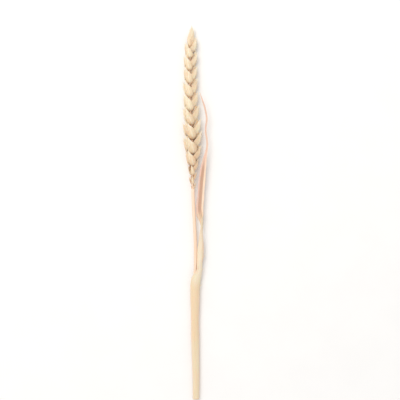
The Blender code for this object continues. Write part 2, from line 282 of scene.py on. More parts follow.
# Where a tone of the leaf comes in or ends, from a y and over a length, in mm.
SHEATH_ENDS = (-52.0, 10.0)
MOUTH_BEGINS = (-84.0, 14.0)
MOUTH_ENDS = (-46.0, 8.0)
TURN_BEGINS = (-46.0, 10.0)
TURN_ENDS = (-14.0, 10.0)
CHANNEL_BEGINS = (-8.0, 12.0)
TAIL_BEGINS = (26.0, 10.0)
# Across the leaf, from 0 to 1: the line on top of the sheath, either side of which its flanks get painted
# pinkish shade, and the middle of the turning blade, which gets a painted highlight.
SHEATH_TOP = 0.76
TURN_MIDDLE = 0.64

# The ligule from y to y, its foot's and its rim's radius, and the auricles: foot, bend and tip, in mm.
LIGULE = (-40.5, -36.6)
LIGULE_RADII = (2.20, 1.06)
LIGULE_GRID = (16, 61)
LIGULE_WALL = 0.05
LIGULE_FLATTENED = 0.72
LIGULE_REACH = 165.0
LIGULE_FACING = 5.0
LIGULE_TEARS = ((0.16, 9, 0.0), (0.10, 23, 1.0))
AURICLES = (
    ((0.10, -36.6, 4.20), (-1.30, -35.6, 5.00), (-1.55, -35.0, 3.30)),
    ((0.90, -36.2, 1.30), (-0.20, -35.0, 0.70), (-1.10, -34.6, 1.60)),
)
AURICLE_RADII = (0.26, 0.05)

# Fibres frayed off the leaf's right margin, in mm: the foot's y and the tip's x and y. They and the
# auricles are strands of so many rings and sides.
FIBRES = ((-27.0, 6.05, -24.6), (-34.6, 5.15, -32.7), (-44.2, 3.95, -42.3))
FIBRE_RADII = (0.22, 0.06)
FIBRE_RISE = 0.6
FIBRE_BEND = (0.10, -0.25, 0.25)
STRAND_GRID = (24, 10)
STRAND_U = 0.06


def smooth(at, table, column):
    """A smooth curve through a table's values: cubic pieces whose slopes are the neighbours' slopes."""
    x, y = table[:, 0], table[:, column]
    slope = np.gradient(y, x)
    at = np.clip(np.asarray(at, float), x[0], x[-1])
    i = np.clip(np.searchsorted(x, at, side="right") - 1, 0, len(x) - 2)
    step = x[i + 1] - x[i]
    t = (at - x[i]) / step
    return (
        y[i] * (1 + 2 * t) * (1 - t) ** 2
        + y[i + 1] * t**2 * (3 - 2 * t)
        + step * (slope[i] * t * (1 - t) ** 2 - slope[i + 1] * t**2 * (1 - t))
    )


def eased(value):
    """0 below 0, 1 above 1 and an even S between."""
    value = np.clip(value, 0.0, 1.0)
    return value * value * (3 - 2 * value)


def rise(at, span):
    """An even S from 0 where the span starts to 1 after its length."""
    start, over = span
    return eased((at - start) / over)


def unit(vectors):
    """Vectors divided by their lengths."""
    return vectors / np.maximum(np.linalg.norm(vectors, axis=-1, keepdims=True), 1e-12)


def centre(y):
    """Points of the centre line at given y, in mm."""
    y = np.asarray(y, float)
    return np.stack([smooth(y, CENTRE_LINE, 1), y, smooth(y, CENTRE_LINE, 2)], axis=-1)


def ear_axes(y):
    """The ear's own axes at given y: out towards the left rank, across, and along the ear."""
    y = np.asarray(y, float)
    along = unit(centre(y + 1.0) - centre(y - 1.0))
    share = np.clip((y - EAR_FOOT) / (CENTRE_LINE[-1, 0] - EAR_FOOT), 0.0, 1.0)
    roll = np.radians(ROLL_AT_FOOT + (ROLL_AT_TIP - ROLL_AT_FOOT) * share)
    out = np.stack([-np.cos(roll), np.zeros_like(roll), np.sin(roll)], axis=-1)
    out = unit(out - along * np.sum(out * along, axis=-1, keepdims=True))
    return out, np.cross(along, out), along


def spikelet_layout():
    """Each spikelet's y and size: short internodes and sterile ones at the foot, smaller at the top.

    Midway up, each rank is shifted along the ear, so that the spikelets come closer to pairs.
    """
    index = np.arange(SPIKELETS)
    shorter_at_foot = (INTERNODE - FIRST_INTERNODE) * (1 - rise(index, LENGTHENS))
    shorter_at_top = (INTERNODE - TOP_INTERNODE) * rise(index, SHORTENS)
    steps = INTERNODE - shorter_at_foot - shorter_at_top
    steps[-1] = END_INTERNODE
    y = EAR_FOOT + FOOT_LENGTH + np.concatenate([[0.0], np.cumsum(steps)])
    shift = eased((y - SHIFTED_FROM) / SHIFTED_OVER) * eased((SHIFTED_TO - y) / SHIFTED_OVER)
    shift[0::2] *= RIGHT_SHIFT
    shift[1::2] *= LEFT_SHIFT
    shift[-1] = 0.0
    y = y + shift
    size = STERILE_SIZE + (1 - STERILE_SIZE) * rise(index, GROWS)
    size = size - (1 - TOP_SIZE) * rise(index, SHRINKS)
    return y, np.append(size, END_SIZE)


def husk_layout():
    """Every husk of the ear as a row of its frame.

    The root and the tip are laid out on the ear's axes at the spikelet, the tip strays a little at
    random, the back's way is squared to the line from root to tip, and the side is square to both.
    """
    chance = np.random.default_rng(SEED)
    rows = []
    for index, (y, size) in enumerate(zip(*spikelet_layout())):
        out, across, along = ear_axes(y)
        rank = 0 if index == SPIKELETS else (-1 if index % 2 == 0 else 1)
        basis = np.array((out * rank, across * rank, along) if rank else (across, -out, along))
        opened = min((size - STERILE_SIZE) / (TOP_SIZE - STERILE_SIZE), 1.0)
        upright = (1 - TOP_SPREAD) * eased((index - TOP_SPREAD_FROM) / (SPIKELETS - TOP_SPREAD_FROM))
        openness = smooth(y, OPENNESS, 1 if rank < 0 else 2)
        spread = (STERILE_SPREAD + (1 - STERILE_SPREAD) * opened - upright) * openness
        slim = STERILE_GIRTH + (1 - STERILE_GIRTH) * opened
        slim *= 1 - GIRTH_FOLLOWS * (1 - openness)
        lean, fan, girth = (spread, spread, slim) if rank else (END_LEAN, END_FAN, END_GIRTH)
        husks = [(GLUME, 1), (GLUME, -1)]
        if size > FLORETS_ABOVE:
            husks += [(LOWER_FLORET, 1), (LOWER_FLORET, -1), (MIDDLE_FLORET, 1)]
        if size > UPPER_FLORET_ABOVE:
            husks += [(UPPER_FLORET, 1)]
        for form, flip in husks:
            root, tip, back_way, half_width, back, front = form
            scale = np.array([lean, flip * fan, 1.0])
            start = centre(y) + (np.array(root) * scale) @ basis * size
            reach = (np.array(tip) - np.array(root)) * scale @ basis
            line = (reach + chance.normal(0.0, TIP_SCATTER, 3)) * size
            facing = np.array(back_way) * (1.0, flip, 0.0) @ basis
            way = unit(line)
            facing = unit(facing - way * facing.dot(way))
            row = {"form": form, "rank": rank, "flip": flip * (rank or 1), "size": size}
            row |= {"start": start, "line": line, "facing": facing, "side": np.cross(way, facing)}
            sizes = {"half_width": half_width, "back": back, "front": front}
            row |= {key: value * girth * size for key, value in sizes.items()}
            rows.append(row)
    return rows


def column(rows, key):
    """One value of every row as an array shaped to spread over a grid of points."""
    return np.array([row[key] for row in rows], float)[:, None, None]


def grid_faces(rows, columns):
    """Quads of a grid of points, counted anticlockwise from the side its normals are on."""
    ids = np.arange(rows * columns).reshape(rows, columns)
    return np.stack([ids[:-1, :-1], ids[:-1, 1:], ids[1:, 1:], ids[1:, :-1]], axis=-1).reshape(-1, 4)


def border(rows, columns):
    """The points round a grid's edge, in the order in which its outer faces pass them."""
    ids = np.arange(rows * columns).reshape(rows, columns)
    return np.concatenate([ids[0, :-1], ids[:-1, -1], ids[-1, :0:-1], ids[:0:-1, 0]])


def shell(points, wall):
    """A closed shell from grids of points: each is doubled inwards along its normal by the wall.

    The normal is the cross product of the steps across and along the grid, and a band of faces round
    the edge joins the outer sheet to the inner one.
    """
    count, rows, columns = points.shape[:3]
    normal = unit(np.cross(np.gradient(points, axis=2), np.gradient(points, axis=1)))
    inner = points - normal * np.broadcast_to(wall, points.shape[:3])[..., None]
    outer_faces = grid_faces(rows, columns)
    half = rows * columns
    edge = border(rows, columns)
    after = np.roll(edge, -1)
    rim = np.stack([after, edge, edge + half, after + half], axis=-1)
    faces = np.concatenate([outer_faces, outer_faces[:, ::-1] + half, rim])
    both = np.concatenate([points.reshape(count, half, 3), inner.reshape(count, half, 3)], axis=1)
    offsets = np.arange(count)[:, None, None] * 2 * half
    return both.reshape(-1, 3), (faces[None] + offsets).reshape(-1, 4)


def shell_values(values, count, rows, columns):
    """A value for each grid point, or for each grid, repeated for a shell's two sheets."""
    spread = np.broadcast_to(values, (count, rows, columns)).reshape(count, -1)
    return np.concatenate([spread, spread], axis=1).ravel()


def shell_uv(u, v, *grids):
    """A shell's U and V: one U for each column of its grids and one V for each row."""
    return shell_values(u[None, None, :], *grids), shell_values(v[None, :, None], *grids)


def lay_on_surface(points, give=0.06):
    """Points bent up to the surface: z becomes half the sum of z and the length of (z, give)."""
    points = points.copy()
    z = points[..., 2]
    points[..., 2] = 0.5 * (z + np.sqrt(z * z + give * give))
    return points


def add_object(name, data):
    """An object of the scene that shows the data."""
    made = bpy.data.objects.new(name, data)
    bpy.context.scene.collection.objects.link(made)
    return made


def add_piece(name, points, faces, uv, values, material, node):
    """A mesh object from points in mm, faces, two UV columns and named values for each point."""
    mesh = bpy.data.meshes.new(name)
    mesh.vertices.add(len(points))
    mesh.vertices.foreach_set("co", (points * MM).astype(np.float32).ravel())
    mesh.loops.add(faces.size)
    mesh.loops.foreach_set("vertex_index", faces.astype(np.int32).ravel())
    mesh.polygons.add(len(faces))
    starts = np.arange(0, faces.size, faces.shape[1], dtype=np.int32)
    mesh.polygons.foreach_set("loop_start", starts)
    mesh.update(calc_edges=True)
    mesh.validate()
    mesh.polygons.foreach_set("use_smooth", np.ones(len(mesh.polygons), bool))
    mesh.set_sharp_from_angle(angle=np.radians(SHARP_ANGLE))
    layer = mesh.uv_layers.new(name="UVMap")
    at = np.zeros(len(mesh.loops), np.int32)
    mesh.loops.foreach_get("vertex_index", at)
    layer.data.foreach_set("uv", np.stack(uv, axis=-1)[at].astype(np.float32).ravel())
    for key, value in values.items():
        attribute = mesh.attributes.new(key, "FLOAT", "POINT")
        attribute.data.foreach_set("value", value.astype(np.float32))
    mesh.materials.append(material)
    made = add_object(name, mesh)
    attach(made, BODY)
    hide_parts(node)


def fullness(s, pointedness, foot):
    """How full a husk is along its line, over its widest.

    Below the widest place it is a quarter of an ellipse that starts at the foot's share, and above it
    is one minus a power of the rest, with a thin beak left at the tip and beyond it.
    """
    below = np.clip((WIDEST - s) / WIDEST, 0.0, 1.0)
    above = np.clip((s - WIDEST) / (1 - WIDEST), 0.0, 1.0)
    rising = np.sqrt(1 - (1 - foot * foot) * below * below)
    beak = BEAK_GIRTH * (1 - BEAK_NARROWED[0] * above) * (1 - BEAK_NARROWED[1] * rise(s, BEAK_ENDS))
    falling = 1 - above**pointedness
    falling = falling * (1 - POINT_NARROWED * rise(above, POINT_NARROWS)) * (1 - BEAK_GIRTH) + beak
    return np.where(s < WIDEST, rising, falling)


def husk_points(rows, s, angle, keel, shoulder, bow, foot, beak, bend):
    """Grids of points for husks, over their length s and the angle round from the middle of the back.

    A point is the root plus s of the line, plus the back's depth by the cosine and the half width by
    the sine of the angle, both times the fullness. A keel rises as a narrow bell on the back, one
    side has a fuller shoulder, the whole bows out and bends sideways by a sine of s, and s runs past
    the tip by the beak, where the angle opens up to the full turn.
    """
    s = s[None, :, None] * (1 + beak[:, None, None])
    closing = rise(s, EDGES_CLOSE) * (beak[:, None, None] > 0)
    angle = angle[None, None, :]
    angle = angle * (1 + (np.pi / np.abs(angle).max() - 1) * closing)
    lopsided = POINTEDNESS + shoulder * np.tanh(angle / SHOULDER_TURN) * column(rows, "flip")
    full = fullness(s, lopsided, foot)
    size = column(rows, "size")
    depth = np.where(np.cos(angle) > 0, column(rows, "back"), column(rows, "front"))
    ridge = keel * size * np.exp(-((angle / KEEL_ANGLE) ** 2)) * np.sqrt(full) * rise(s, KEEL_RISES)
    arch = size * np.sin(np.pi * np.minimum(s, 1.0))
    outward = depth * np.cos(angle) * full + ridge + bow * arch
    sideways = column(rows, "half_width") * np.sin(angle) * full + bend[:, None, None] * arch
    return (
        column(rows, "start")
        + column(rows, "line") * s[..., None]
        + column(rows, "facing") * outward[..., None]
        + column(rows, "side") * sideways[..., None]
    )


def add_husks(name, rows, look, keel, material, turned=0.0):
    """Husks of one look as closed shells. The angle is spread so that its points lie closest at the keel.

    The wall thins towards the margins by a power of the spread, and towards the tip by a power of s.
    """
    (length, across), reach, (thin, thick), (keel_share, *form, beak) = look
    chance = np.random.default_rng(LOOKS_SEED + len(name))
    w = np.linspace(-1.0, 1.0, across)
    s = 1 - (1 - np.linspace(0.0, 1.0, length)) ** TIP_CROWDING
    angle = np.radians(turned) + np.radians(reach) * np.sign(w) * np.abs(w) ** KEEL_CROWDING
    count = len(rows)
    beaks = beak * chance.uniform(*BEAK_LENGTHS, count)
    bends = chance.normal(0.0, HUSK_BEND, count)
    points = husk_points(rows, s, angle, keel_share * keel, *form, beaks, bends)
    thickness = thin + (thick - thin) * (1 - np.abs(w) ** WALL_POWERS[0])
    thickness = thickness[None, None, :] * (1 - TIP_WALL_LOST * s[None, :, None] ** WALL_POWERS[1])
    points, faces = shell(points, thickness)
    grids = (count, length, across)
    foot_y = np.array([row["start"][1] for row in rows])
    low = 1 - rise(foot_y, WARM_ENDS)
    tone = (chance.uniform(0.0, 1.0, count) + FOOT_WARMTH * low)[:, None, None]
    values = {"tone": shell_values(tone, *grids)}
    uv = shell_uv(w * 0.5 + 0.5, s, *grids)
    add_piece(name, lay_on_surface(points), faces, uv, values, material, "ear")


def tube(path, radii, sides, ridges=0.0, ridge_count=0):
    """A tube's grid of points: rings of a radius round a path, with low ridges as a cosine round it."""
    along = unit(np.gradient(path, axis=0))
    right = unit(np.cross(along, [0.0, 0.0, 1.0]))
    up = np.cross(right, along)
    turn = np.linspace(0.0, 2 * np.pi, sides, endpoint=False)
    swell = 1 + ridges * np.cos(ridge_count * turn)
    ring = right[:, None] * np.cos(turn)[None, :, None] + up[:, None] * np.sin(turn)[None, :, None]
    return path[:, None] + ring * (radii[:, None] * swell[None, :])[..., None]


def linear(colour):
    """A colour as seen on a screen turned into light."""
    values = np.array(colour[:3], float)
    return (*np.where(values <= 0.04045, values / 12.92, ((values + 0.055) / 1.055) ** 2.4), 1.0)


class Shader:
    """A material whose nodes are added one call at a time."""

    def __init__(self, name, roughness, constants):
        self.material = bpy.data.materials.new(name)
        self.material.use_nodes = True
        self.tree = self.material.node_tree
        self.surface = self.tree.nodes["Principled BSDF"]
        self.surface.inputs["Roughness"].default_value = roughness
        for key, value in constants.items():
            self.surface.inputs[key].default_value = value

    def add(self, kind, inputs, settings=None):
        """A node: its settings are set, and each input is a number, a colour or another's output."""
        made = self.tree.nodes.new(kind)
        for key, value in (settings or {}).items():
            setattr(made, key, value)
        for key, value in inputs.items():
            if isinstance(value, bpy.types.NodeSocket):
                self.tree.links.new(value, made.inputs[key])
            else:
                made.inputs[key].default_value = value
        return made

    def read(self, name):
        """A named value of the piece."""
        return self.add("ShaderNodeAttribute", {}, {"attribute_name": name}).outputs["Fac"]

    def uv(self):
        """The piece's own U and V."""
        where = self.add("ShaderNodeTexCoord", {}).outputs["UV"]
        split = self.add("ShaderNodeSeparateXYZ", {0: where})
        return split.outputs[0], split.outputs[1]

    def place(self):
        """The place on the piece, in m."""
        return self.add("ShaderNodeTexCoord", {}).outputs["Object"]

    def vector(self, x, y, z=0.0):
        """Three numbers as one vector."""
        return self.add("ShaderNodeCombineXYZ", {0: x, 1: y, 2: z}).outputs[0]

    def sum(self, operation, a, b=0.0, c=0.0):
        """One step of arithmetic on up to three numbers."""
        inputs = {0: a, 1: b, 2: c}
        return self.add("ShaderNodeMath", inputs, {"operation": operation}).outputs[0]

    def span(self, value, low, high, start=0.0, end=1.0):
        """A value carried from one span to another by an even S, held at the ends."""
        inputs = {0: value, 1: low, 2: high, 3: start, 4: end}
        kind = {"interpolation_type": "SMOOTHSTEP"}
        return self.add("ShaderNodeMapRange", inputs, kind).outputs[0]

    def times(self, a, b):
        """The product of two numbers."""
        return self.sum("MULTIPLY", a, b)

    def noise(self, where, scale, detail=3.0, roughness=0.55):
        """Soft noise from 0 to 1 at a place."""
        inputs = {"Vector": where, "Scale": scale, "Detail": detail, "Roughness": roughness}
        return self.add("ShaderNodeTexNoise", inputs).outputs[0]

    def mix(self, factor, a, b):
        """One colour carried towards another by a factor."""
        inputs = {0: factor, 6: a, 7: b}
        kind = {"data_type": "RGBA"}
        return self.add("ShaderNodeMix", inputs, kind).outputs[2]

    def stretched(self, u, v, along_u, along_v, shift=0.0):
        """The piece's own U and V, each stretched, as a vector for a noise."""
        return self.vector(self.times(u, along_u), self.times(v, along_v), shift)

    def finish(self, colour, height=None, depth=0.0, roughness=None):
        """The colour, a bump of the given depth in mm and a roughness reach the surface."""
        self.tree.links.new(colour, self.surface.inputs["Base Color"])
        if roughness is not None:
            self.tree.links.new(roughness, self.surface.inputs["Roughness"])
        if height is not None:
            bump = self.add("ShaderNodeBump", {"Height": height, "Distance": depth * MM})
            self.tree.links.new(bump.outputs[0], self.surface.inputs["Normal"])
        return self.material


def chaff_material(name, settings, nerves, pale=0.0):
    """Husk: cream with a tone for each husk, pale margins and tip and fine nerves; browner at its foot,
    partly its own colour and partly painted shade in the crevices, with painted shade on its flanks and a
    painted highlight down its keel.
    """
    light, warm, deep = (linear(colour) for colour in (settings.light, settings.warm, settings.deep))
    glow = {"Subsurface Weight": 0.12, "Subsurface Scale": 0.0008, "Subsurface Radius": (1.0, 0.55, 0.3)}
    make = Shader(name, 0.6, {"Specular IOR Level": 0.32, **glow})
    u, v = make.uv()
    off_keel = make.sum("ABSOLUTE", make.sum("SUBTRACT", u, 0.5))
    tone = make.read("tone")
    patches = make.noise(make.place(), 420.0)
    streaks = make.noise(make.stretched(u, v, 16.0, 1.6, tone), 2.2)
    warmth = make.sum("MULTIPLY_ADD", tone, 0.40, make.sum("MULTIPLY_ADD", patches, 0.8, -0.30))
    colour = make.mix(make.span(warmth, 0.0, 0.75), light, warm)
    colour = make.mix(make.span(streaks, 0.5, 0.75, 0.0, 0.40), colour, warm)
    # Browner towards the foot: partly the husk's own colour and partly painted shade in the crevices where
    # the husks tuck together.
    colour = make.mix(make.span(v, 0.24, 0.02, 0.0, 0.60), colour, deep)
    # Painted shade: the flanks either side of the keel are darkened towards the foot's colour, less towards
    # the tip.
    side = make.times(make.span(off_keel, 0.14, 0.36, 0.0, 0.35), make.span(v, 0.85, 0.45))
    colour = make.mix(side, colour, deep)
    # Paler thin margins and tip, and a painted highlight down the keel.
    edge = make.span(off_keel, 0.42, 0.5, 0.0, 0.60)
    keel = make.span(off_keel, 0.10, 0.0, 0.0, 0.40)
    tip = make.span(v, 0.60, 1.0, 0.0, 0.75)
    paler = make.sum("MAXIMUM", make.sum("MAXIMUM", edge, keel), tip)
    colour = make.mix(make.sum("MAXIMUM", paler, pale), colour, linear(settings.margin))
    ribs = make.sum("COSINE", make.times(u, 2 * np.pi * nerves))
    ribs = make.sum("POWER", make.sum("MULTIPLY_ADD", ribs, 0.5, 0.5), 2.0)
    grain = make.noise(make.stretched(u, v, 60.0, 9.0, tone), 1.6)
    height = make.sum("MULTIPLY_ADD", grain, 0.7, make.times(ribs, 0.8))
    height = make.times(height, make.span(v, 0.98, 0.70))
    return make.finish(colour, height, 0.045, make.span(grain, 0.3, 0.7, 0.50, 0.70))


def straw_material(name, settings, browned=0.0):
    """Straw: pinkish cream, shiny, with fine lengthwise lines and flecks, and brown away from its foot."""
    light, warm = linear(settings.straw_colour), linear(settings.straw_shade)
    make = Shader(name, 0.4, {"Specular IOR Level": 0.45, "Coat Weight": 0.12, "Coat Roughness": 0.35})
    u, v = make.uv()
    lines = make.noise(make.stretched(u, v, 40.0, 6.0), 1.5, 4.0)
    broad = make.noise(make.stretched(u, v, 5.0, 9.0), 1.2)
    flecks = make.noise(make.place(), 900.0, 2.0)
    colour = make.mix(make.span(lines, 0.42, 0.7), light, warm)
    colour = make.mix(make.span(broad, 0.45, 0.70, 0.0, 0.5), colour, warm)
    colour = make.mix(make.span(flecks, 0.66, 0.78, 0.0, 0.30), colour, linear(settings.fleck))
    colour = make.mix(make.span(v, 0.0, 0.12, 0.0, browned), colour, linear(settings.fleck))
    return make.finish(colour, lines, 0.05, make.span(lines, 0.3, 0.7, 0.34, 0.5))


def leaf_material(settings):
    """Dry leaf: veined and cream, in the blade's channel painted pinkish shade, painted brown shade and a
    painted highlight from left to right.

    The sheath's flanks have painted pinkish shade and its mouth is warmer; where the blade turns, its
    middle has a painted highlight and its margins have painted pinkish shade.
    """
    light, warm = linear(settings.leaf_colour), linear(settings.leaf_shade)
    glow = {"Subsurface Weight": 0.08, "Subsurface Scale": 0.0006}
    make = Shader("dry leaf", 0.6, {"Specular IOR Level": 0.3, **glow})
    u, v = make.uv()
    fibres = make.noise(make.stretched(u, v, 70.0, 22.0), 1.3, 4.0)
    veins = make.noise(make.stretched(u, v, 34.0, 3.0), 1.0, 2.0)
    streaks = make.noise(make.stretched(u, v, 5.0, 7.0), 1.4)
    colour = make.mix(make.span(streaks, 0.36, 0.68, 0.0, 0.65), light, warm)
    colour = make.mix(make.span(fibres, 0.5, 0.78, 0.0, 0.5), colour, warm)
    colour = make.mix(make.span(veins, 0.56, 0.70, 0.0, 0.35), colour, linear(settings.leaf_vein))
    colour = make.mix(make.times(make.read("mouth"), 0.7), colour, warm)
    # Painted pinkish shade on the sheath's flanks, away from the line on its top.
    off_top = make.sum("ABSOLUTE", make.sum("SUBTRACT", u, SHEATH_TOP))
    painted_flank_shade = make.times(make.read("sheath"), make.span(off_top, 0.09, 0.17, 0.0, 0.60))
    colour = make.mix(painted_flank_shade, colour, linear(settings.tail))
    # Where the blade turns: a painted highlight along its middle and painted pinkish shade on its margins.
    off_middle = make.sum("ABSOLUTE", make.sum("SUBTRACT", u, TURN_MIDDLE))
    turning = make.read("turning")
    pale = make.times(turning, make.span(off_middle, 0.30, 0.10, 0.0, 0.75))
    colour = make.mix(pale, colour, linear(settings.turn_painted_highlight))
    margins = make.times(turning, make.span(off_middle, 0.22, 0.40, 0.0, 0.70))
    colour = make.mix(margins, colour, linear(settings.tail))
    # The blade's channel: painted pinkish shade on its left wall, painted brown shade in its hollow and
    # along its fibres, and a painted highlight on its right wall, shaken by the streaks.
    shaken = make.sum("MULTIPLY_ADD", make.sum("SUBTRACT", streaks, 0.5), 0.25, u)
    channel = make.mix(
        make.span(shaken, 0.16, 0.38), linear(settings.channel_left_painted_shade), linear(settings.channel_painted_shade)
    )
    channel = make.mix(make.span(shaken, 0.58, 0.76), channel, linear(settings.channel_right_painted_highlight))
    channel = make.mix(make.span(fibres, 0.5, 0.8, 0.0, 0.4), channel, linear(settings.channel_painted_shade))
    colour = make.mix(make.read("blade"), colour, channel)
    colour = make.mix(make.read("tail"), colour, linear(settings.tail))
    height = make.sum("MULTIPLY_ADD", fibres, 0.6, veins)
    return make.finish(colour, height, 0.07, make.span(fibres, 0.3, 0.7, 0.5, 0.7))


def colour_setting(thing, default):
    """A colour that the user can change, named after its thing."""
    name = thing.split(" ", 1)[1].capitalize()
    kind = {"size": 3, "min": 0, "max": 1, "subtype": "COLOR_GAMMA"}
    return FloatVectorProperty(name=name, description=f"Colour of {thing}", default=default, **kind)


def length_setting(name, description, default):
    """A length that the user can change, given in mm."""
    return FloatProperty(
        name=name, description=description, default=default * MM, min=0.0, precision=5, unit="LENGTH"
    )


class WheatHuskSettings(bpy.types.PropertyGroup):
    """Sizes and colours of the ear."""

    light: colour_setting("a husk's back", (0.945, 0.880, 0.755))
    warm: colour_setting("a husk's warmer patches", (0.920, 0.800, 0.662))
    # Also the colour of the painted shade at a husk's foot and on its flanks.
    deep: colour_setting("a husk's foot", (0.810, 0.640, 0.510))
    # Also the colour of the painted highlight down a husk's keel.
    margin: colour_setting("a husk's thin margins", (0.995, 0.960, 0.895))
    keel: length_setting("Keel", "Height of a glume's keel", 0.22)
    nerves: IntProperty(name="Nerves", description="Nerves on a husk", default=9, min=3, max=15)
    hair: length_setting("Hair", "Length of the hairs on the rachis", 0.65)


class WheatStalkSettings(bpy.types.PropertyGroup):
    """Sizes and colours of the straw and the flag leaf."""

    straw_colour: colour_setting("the straw", (1.0, 0.890, 0.800))
    straw_shade: colour_setting("the straw's lines", (0.93, 0.77, 0.63))
    fleck: colour_setting("the straw's flecks", (0.70, 0.53, 0.38))
    leaf_colour: colour_setting("the sheath and the blade", (0.915, 0.855, 0.735))
    leaf_shade: colour_setting("the leaf's streaks", (0.92, 0.81, 0.67))
    leaf_vein: colour_setting("the leaf's veins", (0.84, 0.70, 0.55))
    # The colour of the painted pinkish shade on the channel's left wall.
    channel_left_painted_shade: colour_setting("the channel's left", (0.98, 0.84, 0.78))
    # The colour of the painted highlight on the turning blade's middle.
    turn_painted_highlight: colour_setting("the blade's back where it turns", (0.940, 0.885, 0.795))
    # The colour of the painted brown shade in the channel's hollow.
    channel_painted_shade: colour_setting("the channel's middle", (0.80, 0.655, 0.56))
    # The colour of the painted highlight on the channel's right wall.
    channel_right_painted_highlight: colour_setting("the channel's right", (0.99, 0.885, 0.79))
    # Also the colour of the painted pinkish shade on the sheath's flanks and on the turning blade's
    # margins.
    tail: colour_setting("the blade's thin end", (0.95, 0.84, 0.77))
    wall: length_setting("Leaf wall", "Thickness of the leaf", 0.24)


class WheatStageSettings(bpy.types.PropertyGroup):
    """The floor, the light and the camera."""

    floor: colour_setting("the floor", (0.97, 0.97, 0.97))
    key: FloatProperty(name="Key light", description="Power of the soft light", default=5.6, unit="POWER")
    ambient: FloatProperty(name="Ambient", description="Strength of the light all round", default=0.76)
    distance: FloatProperty(name="Distance", description="Camera height", default=1.0, unit="LENGTH")


class WHEAT_OT_glumes(bpy.types.Operator):
    """Builds the glumes: two keeled outer husks for each spikelet"""

    bl_idname = "wheat.glumes"
    bl_label = "Glumes"

    def execute(self, context):
        ear = context.scene.wheat_husks
        looks = chaff_material("glume", ear, ear.nerves)
        rows = [row for row in husk_layout() if row["form"] is GLUME]
        add_husks("glumes", rows, GLUME_LOOK, ear.keel / MM, looks)
        return {"FINISHED"}


class WHEAT_OT_florets(bpy.types.Operator):
    """Builds the florets: a lemma round the back of each and a palea closing its front"""

    bl_idname = "wheat.florets"
    bl_label = "Florets"

    def execute(self, context):
        ear = context.scene.wheat_husks
        lemma = chaff_material("lemma", ear, ear.nerves - 2)
        palea = chaff_material("palea", ear, ear.nerves - 4, 0.25)
        florets = [row for row in husk_layout() if row["form"] is not GLUME]
        left = [row for row in florets if row["rank"] >= 0]
        right = [row for row in florets if row["rank"] < 0]
        add_husks("lemmas_left", left, LEMMA_LOOK, ear.keel / MM, lemma)
        add_husks("lemmas_right", right, LEMMA_LOOK, ear.keel / MM, lemma)
        add_husks("paleas", florets, PALEA_LOOK, ear.keel / MM, palea, turned=180.0)
        return {"FINISHED"}


class WHEAT_OT_rachis(bpy.types.Operator):
    """Builds the rachis, flattened and swollen under each spikelet, with short hairs at its edges"""

    bl_idname = "wheat.rachis"
    bl_label = "Rachis"

    def execute(self, context):
        ear = context.scene.wheat_husks
        looks = straw_material("rachis", context.scene.wheat_stalk, 0.30)
        y, size = spikelet_layout()
        out, across, _ = ear_axes(y)
        rank = np.where(np.arange(len(y)) % 2 == 0, -1.0, 1.0)
        rank[-1] = 0.0
        nodes = centre(y) + out * rank[:, None] * RACHIS_SWAY
        foot = centre(EAR_FOOT - 0.5)
        table = np.concatenate([foot[None], nodes])[:, [1, 0, 2]]
        rows, sides = RACHIS_GRID
        along = np.linspace(table[0, 0], table[-1, 0] + 1.0, rows)
        path = np.stack([smooth(along, table, 1), along, smooth(along, table, 2)], axis=-1)
        share = np.interp(along, y, np.arange(len(y), dtype=float)) % 1.0
        grown = np.interp(along, y, eased((size - STERILE_SIZE) / (1 - STERILE_SIZE)))
        swell = (1 - NECK_SHARE) * share**2 + NECK_SHARE
        near_foot = rise(along, (EAR_FOOT, FOOT_BLENDS_OVER))
        near_top = 1 - TOP_THINNED * rise(along - y[-1], TOP_THINS)
        halves = []
        for thin, more in (RACHIS_WIDTH, RACHIS_DEPTH):
            half = (thin + more * grown) * swell
            halves.append((STRAW_RADIUS * (1 - near_foot) + half * near_foot) * near_top)
        half_width, half_depth = halves
        out_way, across_way, _ = ear_axes(along)
        turn = np.linspace(0.0, 2 * np.pi, sides, endpoint=False)[None, :, None]
        points = (
            path[:, None]
            + across_way[:, None] * np.cos(turn) * half_width[:, None, None]
            + out_way[:, None] * np.sin(turn) * half_depth[:, None, None]
        )
        add_piece("rachis", *close_tube(points), {}, looks, "ear")
        add_hairs("rachis_hairs", nodes[1:], out[1:], across[1:], size[1:], ear.hair / MM, looks)
        return {"FINISHED"}


def close_tube(grid):
    """A tube's points, faces and UV from its rings: fans of quads round a middle point close its ends."""
    rings, sides = grid.shape[:2]
    points = grid.reshape(-1, 3)
    u = np.tile(np.linspace(0.0, 1.0, sides, endpoint=False), rings)
    v = np.repeat(np.linspace(0.0, 1.0, rings), sides)
    ids = np.arange(rings * sides).reshape(rings, sides)
    after = np.roll(ids, -1, axis=1)
    faces = [np.stack([ids[:-1], ids[1:], after[1:], after[:-1]], axis=-1).reshape(-1, 4)]
    middles = []
    for ring, flip in ((ids[0], False), (ids[-1], True)):
        middles.append(points[ring].mean(axis=0))
        middle = np.full(sides // 2, len(points) + len(middles) - 1)
        fan = np.stack([middle, ring[0::2], ring[1::2], np.roll(ring[0::2], -1)], axis=-1)
        faces.append(fan[:, ::-1] if flip else fan)
    points = np.concatenate([points, np.array(middles)])
    uv = (np.append(u, [0.5, 0.5]), np.append(v, [0.0, 1.0]))
    return points, np.concatenate(faces), uv


